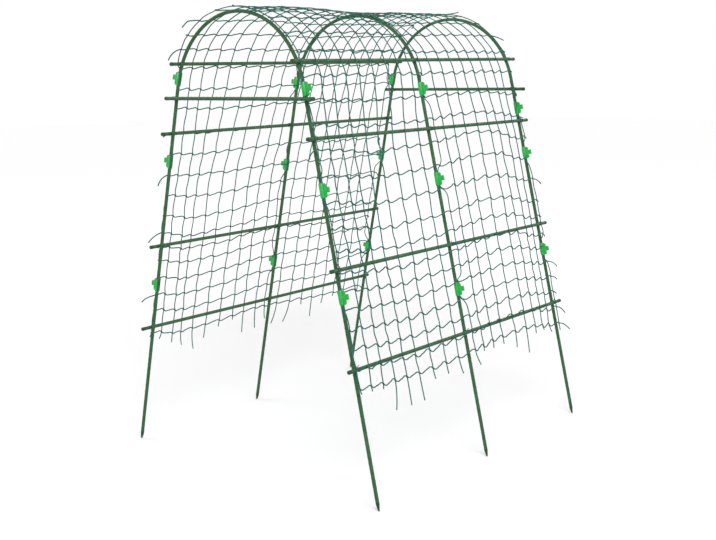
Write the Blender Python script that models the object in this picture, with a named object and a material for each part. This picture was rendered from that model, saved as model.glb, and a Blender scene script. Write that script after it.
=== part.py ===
"""Garden arch: a walk-through tunnel for climbing plants.

Three hoops of plastic-coated steel tube stand one behind the other. Four rails on each side
and a cross tie on each end hoop hold them together. A net of twine is drawn over the outside
of the rails, and snap-on clips hold it to the legs. Metres, +Z up. The origin is on the
ground, in the middle of the arch. Y runs along the tunnel, with the front hoop at -Y.
"""

import math

import bmesh
import bpy
from mathutils import Vector

# Hoops
ARCH_HEIGHT = 2.05
ARC_RADIUS = 0.396
LEG_LEAN = math.radians(11.8)
HOOP_SPACING = 0.80
TUBE_DIAMETER = 0.016
TUBE_WALL = 0.001
LEG_JOINT = 0.886
ARC_TAIL = 0.046

# Swaged joints, where one tube's narrowed end is pushed into the next tube
SPIGOT_LENGTH = 0.040
SPIGOT_TAPER = 0.003
SPIGOT_PLAY = 0.0003

# Rails along the tunnel, by how far each lies below the crown, and ties across the end hoops
RAIL_DIAMETER = 0.016
RAIL_WALL = 0.001
RAIL_DROPS = {"top": 0.221, "upper": 0.540, "middle": 1.075, "lower": 1.479}
RAIL_OVERHANG = 0.055
RAIL_JOINT_Y = -0.100
TIE_DIAMETER = 0.016
TIE_WALL = 0.001
TIE_BELOW_TOP_RAIL = 0.156
TIE_OVERHANG = 0.061
END_CAP_LENGTH = 0.014
END_CAP_LIP = 0.0006
END_CAP_ROUND = 0.003
END_CAP_PLUG = 0.012

# Pointed feet
FOOT_LENGTH = 0.034
FOOT_COLLAR = 0.007
FOOT_TIP_DIAMETER = 0.007
FOOT_PLUG_LENGTH = 0.025

# Clips that hold the net to the legs
CLIP_LENGTH = 0.062
CLIP_WALL = 0.0018
CLIP_TWINE_ROOM = 0.0008
CLIP_WRAP = math.radians(105)
CLIP_LIP_OUT = 0.0010
CLIP_LIP_BACK = 0.0008
CLIP_RIB_REACH = 0.016
CLIP_RIB_THICKNESS = 0.008
CLIP_RIB_CHAMFER = 0.007
CLIP_EAR_REACH = 0.016
CLIP_EAR_LENGTH = 0.024
CLIP_EAR_RISE = 0.001
CLIP_EAR_ROUND = 0.003
CLIP_NOTCH_DEPTH = 0.004
CLIP_NOTCH_WIDTH = 0.005

# How far below the crown each clip was pushed on, from the top clip of a leg down
CLIP_DROPS = {
    "front_left": (0.289, 0.671, 1.265),
    "front_right": (0.349, 0.754, 1.186),
    "middle_left": (0.323, 0.748, 1.266),
    "middle_right": (0.356, 0.775, 1.284),
    "back_left": (0.317, 0.754, 1.295),
    "back_right": (0.476, 0.709, 1.207),
}

# Net
NET_DROP = 1.550
NET_END_GAP = 0.001
NET_TWINE = 0.003
NET_THICKNESS = 0.002
NET_COLUMNS = 10
NET_SIDE_CELLS = 7
NET_TOP_CELLS = 5

# Clearance between pieces that touch
GAP = 0.0003

# Facets
HOOP_SIDES = 12
RAIL_SIDES = 10
SPRING_STEPS = 4
CROWN_STEPS = 5
CLIP_STEPS = 10
SHARP_ANGLE = math.radians(40)

# Sizes that follow from the ones above
TUBE_RADIUS = TUBE_DIAMETER / 2
BORE_RADIUS = TUBE_RADIUS - TUBE_WALL
RAIL_RADIUS = RAIL_DIAMETER / 2
RAIL_BORE_RADIUS = RAIL_RADIUS - RAIL_WALL
RAIL_END = HOOP_SPACING + RAIL_OVERHANG
TIE_RADIUS = TIE_DIAMETER / 2
TIE_BORE_RADIUS = TIE_RADIUS - TIE_WALL
TIE_OFFSET = TUBE_RADIUS + GAP + TIE_RADIUS
CLIP_BORE_RADIUS = TUBE_RADIUS + CLIP_TWINE_ROOM
NET_END = RAIL_END - END_CAP_LENGTH - NET_END_GAP
ARC_CENTRE = ARCH_HEIGHT - ARC_RADIUS
SPRING_HALF_WIDTH = ARC_RADIUS * math.cos(LEG_LEAN)
SPRING_HEIGHT = ARC_CENTRE + ARC_RADIUS * math.sin(LEG_LEAN)
LEG_LENGTH = SPRING_HEIGHT / math.cos(LEG_LEAN)
GROUND_HALF_WIDTH = SPRING_HALF_WIDTH + SPRING_HEIGHT * math.tan(LEG_LEAN)
RAIL_OFFSET = TUBE_RADIUS + GAP + RAIL_RADIUS
NET_OFFSET = RAIL_OFFSET + RAIL_RADIUS + GAP
CROWN_DISTANCE = LEG_LENGTH + (math.pi / 2 - LEG_LEAN) * ARC_RADIUS
RAIL_HEIGHTS = {level: ARCH_HEIGHT - drop for level, drop in RAIL_DROPS.items()}
TIE_HEIGHT = RAIL_HEIGHTS["top"] - TIE_BELOW_TOP_RAIL
HOOP_Y = {"front": -HOOP_SPACING, "middle": 0.0, "back": HOOP_SPACING}
SIDES = {"left": -1, "right": 1}
ARC_MIDDLE = Vector((0, 0, ARC_CENTRE))
MIRROR = Vector((-1, 1, 1))


def clear_scene():
    for obj in list(bpy.data.objects):
        bpy.data.objects.remove(obj)


def material(name, colour, roughness, metallic=0.0):
    made = bpy.data.materials.new(name)
    made.use_nodes = True
    shader = made.node_tree.nodes["Principled BSDF"]
    shader.inputs["Base Color"].default_value = (*colour, 1.0)
    shader.inputs["Roughness"].default_value = roughness
    shader.inputs["Metallic"].default_value = metallic
    return made


def coated_steel():
    return material("coated_steel", (0.030, 0.115, 0.058), 0.45)


def plug_plastic():
    return material("plug_plastic", (0.020, 0.070, 0.036), 0.55)


def clip_plastic():
    return material("clip_plastic", (0.020, 0.520, 0.085), 0.35)


def net_twine():
    return material("net_twine", (0.095, 0.260, 0.225), 0.80)


def spring_height(offset):
    """Height at which a line that keeps this offset outside the hoop starts to bend."""
    return ARC_CENTRE + (ARC_RADIUS + offset) * math.sin(LEG_LEAN)


def half_width(height, offset):
    """How far from the middle plane such a line lies at this height."""
    radius = ARC_RADIUS + offset
    rise = spring_height(offset) - height
    if rise > 0:
        return radius * math.cos(LEG_LEAN) + rise * math.tan(LEG_LEAN)
    return math.sqrt(radius**2 - (height - ARC_CENTRE) ** 2)


def arc_angle(height, offset):
    """Direction from the arc's middle in which such a line passes this height."""
    return math.asin((height - ARC_CENTRE) / (ARC_RADIUS + offset))


def hoop_distance(height, offset):
    """Distance along the hoop from the ground to the point beside this height and offset."""
    if height < spring_height(offset):
        return (height - offset * math.sin(LEG_LEAN)) / math.cos(LEG_LEAN)
    return LEG_LENGTH + (arc_angle(height, offset) - LEG_LEAN) * ARC_RADIUS


def hoop_point(distance):
    """The hoop's centreline on the +X side, at this distance up from the ground."""
    if distance <= LEG_LENGTH:
        x = GROUND_HALF_WIDTH - distance * math.sin(LEG_LEAN)
        return Vector((x, 0, distance * math.cos(LEG_LEAN)))
    angle = LEG_LEAN + (distance - LEG_LENGTH) / ARC_RADIUS
    return ARC_MIDDLE + ARC_RADIUS * Vector((math.cos(angle), 0, math.sin(angle)))


def ring(bm, centre, across, beside, radius, sides):
    points = []
    for step in range(sides):
        turn = 2 * math.pi * step / sides
        point = centre + radius * (math.cos(turn) * across + math.sin(turn) * beside)
        points.append(bm.verts.new(point))
    return points


def loft(bm, rings, closed):
    """Joins rings in order. A closed loft returns to its first ring, and an open one is capped."""
    pairs = list(zip(rings, rings[1:]))
    if closed:
        pairs.append((rings[-1], rings[0]))
    for first, second in pairs:
        for side in range(len(first)):
            after = (side + 1) % len(first)
            bm.faces.new((first[side], first[after], second[after], second[side]))
    if not closed:
        bm.faces.new(rings[0])
        bm.faces.new(rings[-1])


def turned(profile, sides, closed):
    """A round piece along local Z, from (radius, height) pairs."""
    bm = bmesh.new()
    across = Vector((1, 0, 0))
    beside = Vector((0, 1, 0))
    rings = []
    for radius, height in profile:
        rings.append(ring(bm, Vector((0, 0, height)), across, beside, radius, sides))
    loft(bm, rings, closed)
    return bm


def extruded(outline, direction):
    """A plate from a flat outline of points, as thick as the direction is long."""
    bm = bmesh.new()
    base = bm.faces.new([bm.verts.new(point) for point in outline])
    grown = bmesh.ops.extrude_face_region(bm, geom=[base])
    lifted = [item for item in grown["geom"] if isinstance(item, bmesh.types.BMVert)]
    bmesh.ops.translate(bm, verts=lifted, vec=direction)
    return bm


def finished(bm, name):
    bmesh.ops.recalc_face_normals(bm, faces=bm.faces[:])
    mesh = bpy.data.meshes.new(name)
    bm.to_mesh(mesh)
    bm.free()
    mesh.shade_smooth()
    mesh.set_sharp_from_angle(angle=SHARP_ANGLE)
    return mesh


def place(name, mesh, look, parent, location=(0, 0, 0), rotation=(0, 0, 0)):
    obj = bpy.data.objects.new(name, mesh)
    bpy.context.scene.collection.objects.link(obj)
    if not mesh.materials:
        mesh.materials.append(look)
    obj.parent = parent
    obj.location = location
    obj.rotation_euler = rotation
    return obj


def holder(name, location):
    """An empty that carries the pieces of one hoop, rail or tie."""
    empty = bpy.data.objects.new(name, None)
    bpy.context.scene.collection.objects.link(empty)
    empty.location = location
    return empty


def spigot_end(radius, wall, shoulder):
    """The narrowed end of a tube, from its shoulder round its tip and back inside."""
    outside = radius - wall - SPIGOT_PLAY
    narrow = shoulder + SPIGOT_TAPER
    tip = narrow + SPIGOT_LENGTH
    inside = outside - wall
    return [(radius, shoulder), (outside, narrow), (outside, tip), (inside, tip), (inside, narrow)]


def leg_tube(name, start, shoulder):
    """A tube that is open at its start and narrowed at its top to enter the next one."""
    profile = [(TUBE_RADIUS, start)]
    profile += spigot_end(TUBE_RADIUS, TUBE_WALL, shoulder)
    profile += [(BORE_RADIUS, shoulder), (BORE_RADIUS, start)]
    return finished(turned(profile, HOOP_SIDES, closed=True), name)


def lower_leg():
    return leg_tube("lower_leg", FOOT_LENGTH + GAP, LEG_JOINT)


def upper_leg():
    return leg_tube("upper_leg", LEG_JOINT + SPIGOT_TAPER, LEG_LENGTH - ARC_TAIL - SPIGOT_TAPER)


def arc_stations():
    """Centre and outward direction of each ring of the arc tube, from right to left.

    The tube keeps a straight tail at each end, which takes the leg's straight spigot. A ring
    stands at each top rail, so that the rail touches the tube there.
    """
    rail_angle = arc_angle(RAIL_HEIGHTS["top"], RAIL_OFFSET)
    angles = []
    for step in range(SPRING_STEPS):
        angles.append(LEG_LEAN + (rail_angle - LEG_LEAN) * step / SPRING_STEPS)
    for step in range(CROWN_STEPS):
        angles.append(rail_angle + (math.pi / 2 - rail_angle) * step / CROWN_STEPS)
    tail_outward = Vector((math.cos(LEG_LEAN), 0, math.sin(LEG_LEAN)))
    right = [(hoop_point(LEG_LENGTH - ARC_TAIL), tail_outward)]
    for angle in angles:
        outward = Vector((math.cos(angle), 0, math.sin(angle)))
        right.append((ARC_MIDDLE + ARC_RADIUS * outward, outward))
    crown = (Vector((0, 0, ARCH_HEIGHT)), Vector((0, 0, 1)))
    left = [(centre * MIRROR, outward * MIRROR) for centre, outward in reversed(right)]
    return right + [crown] + left


def arc_tube():
    bm = bmesh.new()
    along_tunnel = Vector((0, 1, 0))
    outer = []
    inner = []
    for centre, outward in arc_stations():
        outer.append(ring(bm, centre, outward, along_tunnel, TUBE_RADIUS, HOOP_SIDES))
        inner.append(ring(bm, centre, outward, along_tunnel, BORE_RADIUS, HOOP_SIDES))
    loft(bm, outer + inner[::-1], closed=True)
    return finished(bm, "arc_tube")


def foot():
    """A pointed plug for the leg's lower end. Its point is cut level with the ground."""
    tip_radius = FOOT_TIP_DIAMETER / 2
    plug_radius = BORE_RADIUS - SPIGOT_PLAY
    cone_top = FOOT_LENGTH - FOOT_COLLAR
    below = FOOT_TIP_DIAMETER / 2
    narrowing = (TUBE_RADIUS - tip_radius) / cone_top
    profile = [
        (tip_radius - narrowing * below, -below),
        (TUBE_RADIUS, cone_top),
        (TUBE_RADIUS, FOOT_LENGTH),
        (plug_radius, FOOT_LENGTH),
        (plug_radius, FOOT_LENGTH + FOOT_PLUG_LENGTH),
    ]
    bm = turned(profile, HOOP_SIDES, closed=False)
    bmesh.ops.recalc_face_normals(bm, faces=bm.faces[:])
    upright = Vector((math.sin(LEG_LEAN), 0, math.cos(LEG_LEAN)))
    everything = bm.verts[:] + bm.edges[:] + bm.faces[:]
    cut = bmesh.ops.bisect_plane(
        bm, geom=everything, plane_co=(0, 0, 0), plane_no=upright, clear_inner=True
    )
    rim = [item for item in cut["geom_cut"] if isinstance(item, bmesh.types.BMEdge)]
    bmesh.ops.edgeloop_fill(bm, edges=rim)
    return finished(bm, "foot")


def end_cap(radius, face, way):
    """The capped end of a rail or tie, from the cap's seam out to its face."""
    proud = radius + END_CAP_LIP
    seam = face - way * END_CAP_LENGTH
    edge = face - way * END_CAP_ROUND
    return [(radius, seam), (proud, seam), (proud, edge), (proud - END_CAP_ROUND, face)]


def front_rail():
    """From the capped front end to the narrowed end that enters the back tube."""
    spigot = spigot_end(RAIL_RADIUS, RAIL_WALL, RAIL_JOINT_Y)
    cap = end_cap(RAIL_RADIUS, -RAIL_END, -1)[::-1]
    inside = [(RAIL_BORE_RADIUS, RAIL_JOINT_Y), (RAIL_BORE_RADIUS, END_CAP_LENGTH - RAIL_END)]
    return finished(turned(cap + spigot + inside, RAIL_SIDES, closed=False), "front_rail")


def back_rail():
    """From the open end at the joint to the capped back end."""
    start = RAIL_JOINT_Y + SPIGOT_TAPER
    inside = [(RAIL_BORE_RADIUS, RAIL_END - END_CAP_LENGTH), (RAIL_BORE_RADIUS, start)]
    outside = [(RAIL_RADIUS, start)] + end_cap(RAIL_RADIUS, RAIL_END, 1)
    return finished(turned(inside + outside, RAIL_SIDES, closed=False), "back_rail")


def tie_half_length():
    return half_width(TIE_HEIGHT, 0.0) + TIE_OVERHANG


def cross_tie():
    """A tie's tube with its left cap. Its right end is open and takes the plugged cap."""
    half = tie_half_length()
    end = half - END_CAP_LENGTH - GAP
    cap = end_cap(TIE_RADIUS, -half, -1)[::-1]
    tube = [(TIE_RADIUS, end), (TIE_BORE_RADIUS, end), (TIE_BORE_RADIUS, END_CAP_LENGTH - half)]
    return finished(turned(cap + tube, RAIL_SIDES, closed=False), "cross_tie")


def plugged_cap():
    seam = tie_half_length() - END_CAP_LENGTH
    plug_radius = TIE_BORE_RADIUS - SPIGOT_PLAY
    plug = [(plug_radius, seam - END_CAP_PLUG), (plug_radius, seam)]
    cap = end_cap(TIE_RADIUS, tie_half_length(), 1)[1:]
    return finished(turned(plug + cap, RAIL_SIDES, closed=False), "tie_cap")


def clip_sleeve():
    """The C-shaped sleeve, with its mouth towards the tunnel and its lips turned out."""
    outer = CLIP_BORE_RADIUS + CLIP_WALL
    turns = [CLIP_WRAP * (2 * step / CLIP_STEPS - 1) for step in range(CLIP_STEPS + 1)]
    rays = [Vector((math.cos(turn), math.sin(turn), 0)) for turn in turns]
    outside = [outer * ray for ray in rays]
    inside = [CLIP_BORE_RADIUS * ray for ray in rays]
    outside[0] += Vector((-CLIP_LIP_BACK, -CLIP_LIP_OUT, 0))
    outside[-1] += Vector((-CLIP_LIP_BACK, CLIP_LIP_OUT, 0))
    outline = [point - Vector((0, 0, CLIP_LENGTH / 2)) for point in outside + inside[::-1]]
    return finished(extruded(outline, (0, 0, CLIP_LENGTH)), "clip_sleeve")


def rib_half(ear_edge):
    """Half of the rib's outline, as (out, up) points from the ear's tip to the sleeve's end."""
    root = CLIP_BORE_RADIUS + CLIP_WALL / 2
    rib = TUBE_RADIUS + CLIP_RIB_REACH
    ear = rib + CLIP_EAR_REACH
    top = CLIP_LENGTH / 2
    return [
        (ear, ear_edge - CLIP_EAR_ROUND),
        (ear - CLIP_EAR_ROUND, ear_edge),
        (rib - CLIP_NOTCH_DEPTH, ear_edge),
        (rib, ear_edge + CLIP_NOTCH_WIDTH),
        (rib, top - CLIP_RIB_CHAMFER),
        (rib - CLIP_RIB_CHAMFER, top),
        (root, top),
    ]


def clip_rib():
    """The rib on the sleeve's back, with the ear that pulls the clip off.

    The ear sits a little above the middle, and the notches on both sides of it catch the twine.
    """
    upper = rib_half(CLIP_EAR_LENGTH / 2 + CLIP_EAR_RISE)
    lower = [(out, -up) for out, up in rib_half(CLIP_EAR_LENGTH / 2 - CLIP_EAR_RISE)[::-1]]
    outline = [Vector((out, -CLIP_RIB_THICKNESS / 2, up)) for out, up in upper + lower]
    return finished(extruded(outline, (0, CLIP_RIB_THICKNESS, 0)), "clip_rib")


def clip():
    """The sleeve and its rib, moulded as one."""
    sleeve = bpy.data.objects.new("clip_sleeve", clip_sleeve())
    rib = bpy.data.objects.new("clip_rib", clip_rib())
    for obj in (sleeve, rib):
        bpy.context.scene.collection.objects.link(obj)
    union = sleeve.modifiers.new("rib", "BOOLEAN")
    union.operation = "UNION"
    union.object = rib
    bpy.context.view_layer.update()
    graph = bpy.context.evaluated_depsgraph_get()
    mesh = bpy.data.meshes.new_from_object(sleeve.evaluated_get(graph))
    mesh.name = "clip"
    for obj in (sleeve, rib):
        bpy.data.objects.remove(obj)
    return mesh


def net_rows():
    """Distance along the hoop of each strand that crosses the +X side, from the top rail down."""
    top = hoop_distance(RAIL_HEIGHTS["top"], RAIL_OFFSET)
    low = hoop_distance(ARCH_HEIGHT - NET_DROP, NET_OFFSET)
    return [top + (low - top) * row / NET_SIDE_CELLS for row in range(NET_SIDE_CELLS + 1)]


def clip_distance(hoop, height):
    """The free place for a clip that lies nearest to the height where it is wanted.

    The clip may not sit on a rail or a tie, and its ear stands in an open cell of the net.
    """
    wanted = hoop_distance(height, 0.0)
    blocked = []
    for rail_height in RAIL_HEIGHTS.values():
        reach = CLIP_LENGTH / 2 + RAIL_RADIUS + GAP
        blocked.append((hoop_distance(rail_height, RAIL_OFFSET), reach))
    if hoop != "middle":
        blocked.append((hoop_distance(TIE_HEIGHT, 0.0), CLIP_LENGTH / 2 + TIE_RADIUS + GAP))
    for row in net_rows():
        blocked.append((row - CLIP_EAR_RISE, (CLIP_EAR_LENGTH + NET_TWINE) / 2 + GAP))
    choices = [wanted]
    for place_taken, reach in blocked:
        choices += [place_taken - reach, place_taken + reach]
    free = [
        choice
        for choice in choices
        if all(abs(choice - taken) > reach - GAP / 2 for taken, reach in blocked)
    ]
    return min(free, key=lambda choice: abs(choice - wanted))


def clip_seat(distance):
    """Where a clip's middle sits and how far it leans. On the bend it lies along the chord."""
    low = hoop_point(distance - CLIP_LENGTH / 2)
    high = hoop_point(distance + CLIP_LENGTH / 2)
    centre = (low + high + 2 * hoop_point(distance)) / 4
    along = high - low
    return centre, math.atan2(-along.x, along.z)


def add_leg(frame, hoop, side, meshes, looks):
    sign = SIDES[side]
    ground = (sign * GROUND_HALF_WIDTH, 0, 0)
    facing = 0.0 if sign > 0 else math.pi
    for piece, mesh in meshes.items():
        place(f"{hoop}_{side}_{piece}", mesh, looks[piece], frame, ground, (0, -LEG_LEAN, facing))


def add_clips(frame, hoop, side, mesh, look):
    sign = SIDES[side]
    facing = 0.0 if sign > 0 else math.pi
    for number, drop in enumerate(CLIP_DROPS[f"{hoop}_{side}"], start=1):
        centre, lean = clip_seat(clip_distance(hoop, ARCH_HEIGHT - drop))
        seat = (sign * centre.x, 0, centre.z)
        place(f"{hoop}_{side}_clip_{number}", mesh, look, frame, seat, (0, -lean, facing))


def add_hoops(coated, plug_look, clip_look):
    arc = arc_tube()
    clip_mesh = clip()
    legs = {"lower_leg": lower_leg(), "upper_leg": upper_leg(), "foot": foot()}
    looks = {"lower_leg": coated, "upper_leg": coated, "foot": plug_look}
    for hoop, y in HOOP_Y.items():
        frame = holder(f"{hoop}_hoop", (0, y, 0))
        place(f"{hoop}_arc_tube", arc, coated, frame)
        for side in SIDES:
            add_leg(frame, hoop, side, legs, looks)
            add_clips(frame, hoop, side, clip_mesh, clip_look)


def add_rails(coated):
    """Each rail is turned so that a corner of its facets touches the hoops."""
    meshes = {"front": front_rail(), "back": back_rail()}
    for side, sign in SIDES.items():
        for level, height in RAIL_HEIGHTS.items():
            line = holder(f"{side}_{level}_rail", (sign * half_width(height, RAIL_OFFSET), 0, height))
            facing = LEG_LEAN if height < SPRING_HEIGHT else arc_angle(height, RAIL_OFFSET)
            for end, mesh in meshes.items():
                name = f"{side}_{level}_rail_{end}"
                place(name, mesh, coated, line, rotation=(-math.pi / 2, -sign * facing, 0))


def add_ties(coated, plug_look):
    tube = cross_tie()
    cap = plugged_cap()
    along = (math.pi / 2, 0, math.pi / 2)
    for end, way in (("front", -1), ("back", 1)):
        line = holder(f"{end}_tie_line", (0, way * (HOOP_SPACING + TIE_OFFSET), TIE_HEIGHT))
        place(f"{end}_cross_tie", tube, coated, line, rotation=along)
        place(f"{end}_cross_tie_cap", cap, plug_look, line, rotation=along)


def net_point(distance):
    """The point of the net's inner face outside this point of the hoop, from right to left."""
    if distance > CROWN_DISTANCE:
        return net_point(2 * CROWN_DISTANCE - distance) * MIRROR
    on_hoop = hoop_point(distance)
    if distance <= LEG_LENGTH:
        outward = Vector((math.cos(LEG_LEAN), 0, math.sin(LEG_LEAN)))
    else:
        outward = (on_hoop - ARC_MIDDLE).normalized()
    return on_hoop + NET_OFFSET * outward


def net_stations():
    """Distances along the hoop where the net bends or a cross strand has an edge, in order.

    Each comes with whether a cross strand starts there.
    """
    rows = net_rows()
    top = rows[0]
    over = [top + (CROWN_DISTANCE - top) * step / NET_TOP_CELLS for step in range(NET_TOP_CELLS)]
    strands = rows[1:] + over[::2]
    bends = [LEG_LENGTH] + over[1::2]
    strands += [2 * CROWN_DISTANCE - distance for distance in strands]
    bends += [2 * CROWN_DISTANCE - distance for distance in bends]
    stations = [(distance, False) for distance in bends + [CROWN_DISTANCE]]
    for middle in strands:
        stations += [(middle - NET_TWINE / 2, True), (middle + NET_TWINE / 2, False)]
    return sorted(stations)


def net_columns():
    """The two edges of each strand that runs over the arch, as Y positions."""
    first = NET_TWINE / 2 - NET_END
    pitch = -2 * first / (NET_COLUMNS - 1)
    middles = [first + pitch * column for column in range(NET_COLUMNS)]
    return [edge for middle in middles for edge in (middle - NET_TWINE / 2, middle + NET_TWINE / 2)]


def add_net(look):
    """An open grid of strands over the outside of the rails."""
    stations = net_stations()
    columns = net_columns()
    bm = bmesh.new()
    grid = []
    for distance, _ in stations:
        point = net_point(distance)
        grid.append([bm.verts.new(point + Vector((0, y, 0))) for y in columns])
    for row, (_, cross_strand) in enumerate(stations[:-1]):
        for column in range(len(columns) - 1):
            if cross_strand or column % 2 == 0:
                near = grid[row][column : column + 2]
                far = grid[row + 1][column : column + 2]
                bm.faces.new(near + far[::-1])
    loose = [vert for vert in bm.verts if not vert.link_faces]
    bmesh.ops.delete(bm, geom=loose, context="VERTS")
    net = place("climbing_net", finished(bm, "climbing_net"), look, None)
    thickness = net.modifiers.new("twine", "SOLIDIFY")
    thickness.thickness = NET_THICKNESS
    thickness.offset = 1.0
    thickness.use_even_offset = True


def main():
    clear_scene()
    coated = coated_steel()
    plug_look = plug_plastic()
    add_hoops(coated, plug_look, clip_plastic())
    add_rails(coated)
    add_ties(coated, plug_look)
    add_net(net_twine())


main()
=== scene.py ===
import math
import random

import bmesh
import bpy
from mathutils import Matrix, Vector


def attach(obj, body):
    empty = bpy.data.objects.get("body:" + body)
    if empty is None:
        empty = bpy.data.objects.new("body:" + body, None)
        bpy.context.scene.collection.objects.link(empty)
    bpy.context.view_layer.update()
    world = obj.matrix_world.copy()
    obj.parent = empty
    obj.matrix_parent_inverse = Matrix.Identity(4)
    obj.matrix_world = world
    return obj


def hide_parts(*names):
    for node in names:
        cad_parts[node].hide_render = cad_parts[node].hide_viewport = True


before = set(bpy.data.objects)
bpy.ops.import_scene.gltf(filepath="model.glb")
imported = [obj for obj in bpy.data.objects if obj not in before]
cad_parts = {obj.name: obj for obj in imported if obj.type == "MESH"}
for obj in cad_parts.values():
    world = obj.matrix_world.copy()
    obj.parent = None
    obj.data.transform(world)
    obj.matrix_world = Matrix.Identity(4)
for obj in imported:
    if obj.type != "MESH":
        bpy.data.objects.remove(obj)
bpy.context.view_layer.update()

SEED = 27
chance = random.Random(SEED)

# Camera
PHOTO_WIDTH = 716
PHOTO_HEIGHT = 540
CAMERA_PLACE = Vector((3.472652, -4.152087, 1.786823))
CAMERA_YAW = 0.6961350
CAMERA_PITCH = 0.1031615
CAMERA_ROLL = -0.0186242
FOCAL_LENGTH_IN_PIXELS = 1100.3936
OPTICAL_CENTRE_ROW = 184.0
SENSOR_WIDTH = 36.0

# The frame of tubes, as in the solids
ARCH_HEIGHT = 2.05
ARC_RADIUS = 0.396
LEG_LEAN = math.radians(11.8)
HOOP_SPACING = 0.80
TUBE_RADIUS = 0.008
TUBE_WALL = 0.001
LEG_JOINT = 0.886
ARC_TAIL = 0.046
SPIGOT_TAPER = 0.003
SPIGOT_PLAY = 0.0003
RAIL_HEIGHTS = {"top": 1.829, "upper": 1.510, "middle": 0.975, "lower": 0.571}
RAIL_END = 0.855
RAIL_JOINT_Y = -0.100
TIE_HEIGHT = 1.673
TIE_OVERHANG = 0.061
CAP_LENGTH = 0.014
CAP_LIP = 0.0006
CAP_ROUND = 0.003
FOOT_LENGTH = 0.034
FOOT_COLLAR = 0.007
FOOT_TIP_RADIUS = 0.0035
GAP = 0.0003

# Detail of the tubes and strands
TUBE_SIDES = 24
STRAND_SIDES = 6
ARC_STEPS = 44
LIP_ROUND = 0.0004
SPIGOT_SHOWN = 0.012
SHOULDER_STEPS = 6
SOCKET_DEPTH = 0.016
SHARP_ANGLE = math.radians(42)

# Nubs on the tubes' coating, with their shoulder as a share of their height and radius
NUB_PITCH = 0.014
NUBS_AROUND = 3
NUB_FIRST_TURN = 0.25
NUB_RADIUS = 0.0020
NUB_HEIGHT = 0.0011
NUB_SHOULDER_HEIGHT = 0.6
NUB_SHOULDER_RADIUS = 0.72
NUB_ROOT = 0.0003
NUB_SIDES = 6
NUB_END_ROOM = 0.006
CROSSING_ROOM = 0.012

# Detail of the caps and feet
CAP_GRIP = 0.010
CAP_PLAY = 0.00005
CAP_EDGE = 0.0003
CAP_ROUND_STEPS = 6
FOOT_TIP_BELOW = 0.0016
FOOT_COLLAR_LIP = 0.0002
FOOT_GROOVES = 3
FOOT_GROOVE_START = 0.008
FOOT_GROOVE_PITCH = 0.006
FOOT_GROOVE_HALF_WIDTH = 0.0010
FOOT_GROOVE_DEPTH = 0.0005

# Clips, as in the solids, but with a sleeve that reaches further round the tube and smaller notches
CLIP_LENGTH = 0.062
CLIP_WALL = 0.0018
CLIP_BORE_RADIUS = 0.0088
CLIP_WRAP = math.radians(125)
CLIP_LIP_START = 0.86
CLIP_LIP_OUT = 0.0010
CLIP_LIP_BACK = 0.0008
CLIP_LIP_INNER_SHARE = 0.6
CLIP_RIB_REACH = 0.016
CLIP_RIB_THICKNESS = 0.008
CLIP_RIB_CHAMFER = 0.007
CLIP_RIB_SET_BACK = 0.0006
CLIP_EAR_REACH = 0.016
CLIP_EAR_LENGTH = 0.024
CLIP_EAR_RISE = 0.001
CLIP_EAR_ROUND = 0.003
CLIP_NOTCH_DEPTH = 0.002
CLIP_NOTCH_WIDTH = 0.003
CLIP_STEPS = 36
CLIP_CORNER_STEPS = 4
CLIP_DROPS = {
    "front_left": (0.289, 0.671, 1.265),
    "front_right": (0.349, 0.754, 1.186),
    "middle_left": (0.323, 0.748, 1.266),
    "middle_right": (0.356, 0.775, 1.284),
    "back_left": (0.317, 0.754, 1.295),
    "back_right": (0.476, 0.709, 1.207),
}
SOLID_NET_DROP = 1.550
SOLID_NET_SIDE_CELLS = 7
SOLID_NET_TWINE = 0.003

# Raised bars on both faces of a clip's ear
BARS_ON_A_FACE = 4
BAR_PITCH = 0.0048
BAR_LENGTH = 0.009
BAR_WIDTH = 0.0018
BAR_ROOT = 0.0008
BAR_THICKNESS = 0.0015
BAR_PAST_MIDDLE = 0.002

# Width and steps of the clips' rounded edges, and the least angle that is rounded
SLEEVE_EDGE = (0.0005, 2)
RIB_EDGE = (0.0009, 3)
BAR_EDGE = (0.0004, 2)
ROUNDED_ANGLE = math.radians(30)

# Wire ties at the crossings
WIRE_RADIUS = 0.0008
WIRE_STEPS = 28
WIRE_TAIL_LEAN = 0.5
WIRE_TAIL_FALL = 0.3
WIRE_TAIL_LENGTHS = (0.010, 0.016)
WIRE_TAIL_TWIST = 3.5 * math.pi
WIRE_TAIL_STEPS = 11

# Net
ROW_TWINE_RADIUS = 0.0028
COLUMN_TWINE_RADIUS = 0.0025
NET_LIFT = 0.0030
NET_COLUMNS_Y = (
    -0.802, -0.705, -0.630, -0.553, -0.456, -0.355, -0.256, -0.162, -0.078, -0.004,
    0.066, 0.154, 0.243, 0.330, 0.413, 0.504, 0.585, 0.668, 0.760,
)
NET_SIDE_ROWS = 15
NET_BEND_ROWS_LEFT = (2.511, 2.609, 2.697)
NET_BEND_ROWS_RIGHT = 6
NET_REACH_Y = 0.880

# Where the lengthwise strands lie up the legs: (row from the bottom, distance along the hoop)
NET_RIGHT_ROWS = ((0, 0.487), (4, 0.810), (6, 0.957), (8, 1.136), (14, 1.798))
NET_LEFT_ROWS = (
    (0, 0.517), (1, 0.637), (4, 0.885), (6, 1.025), (7, 1.114), (11, 1.532), (12, 1.646), (14, 1.842),
)

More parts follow.
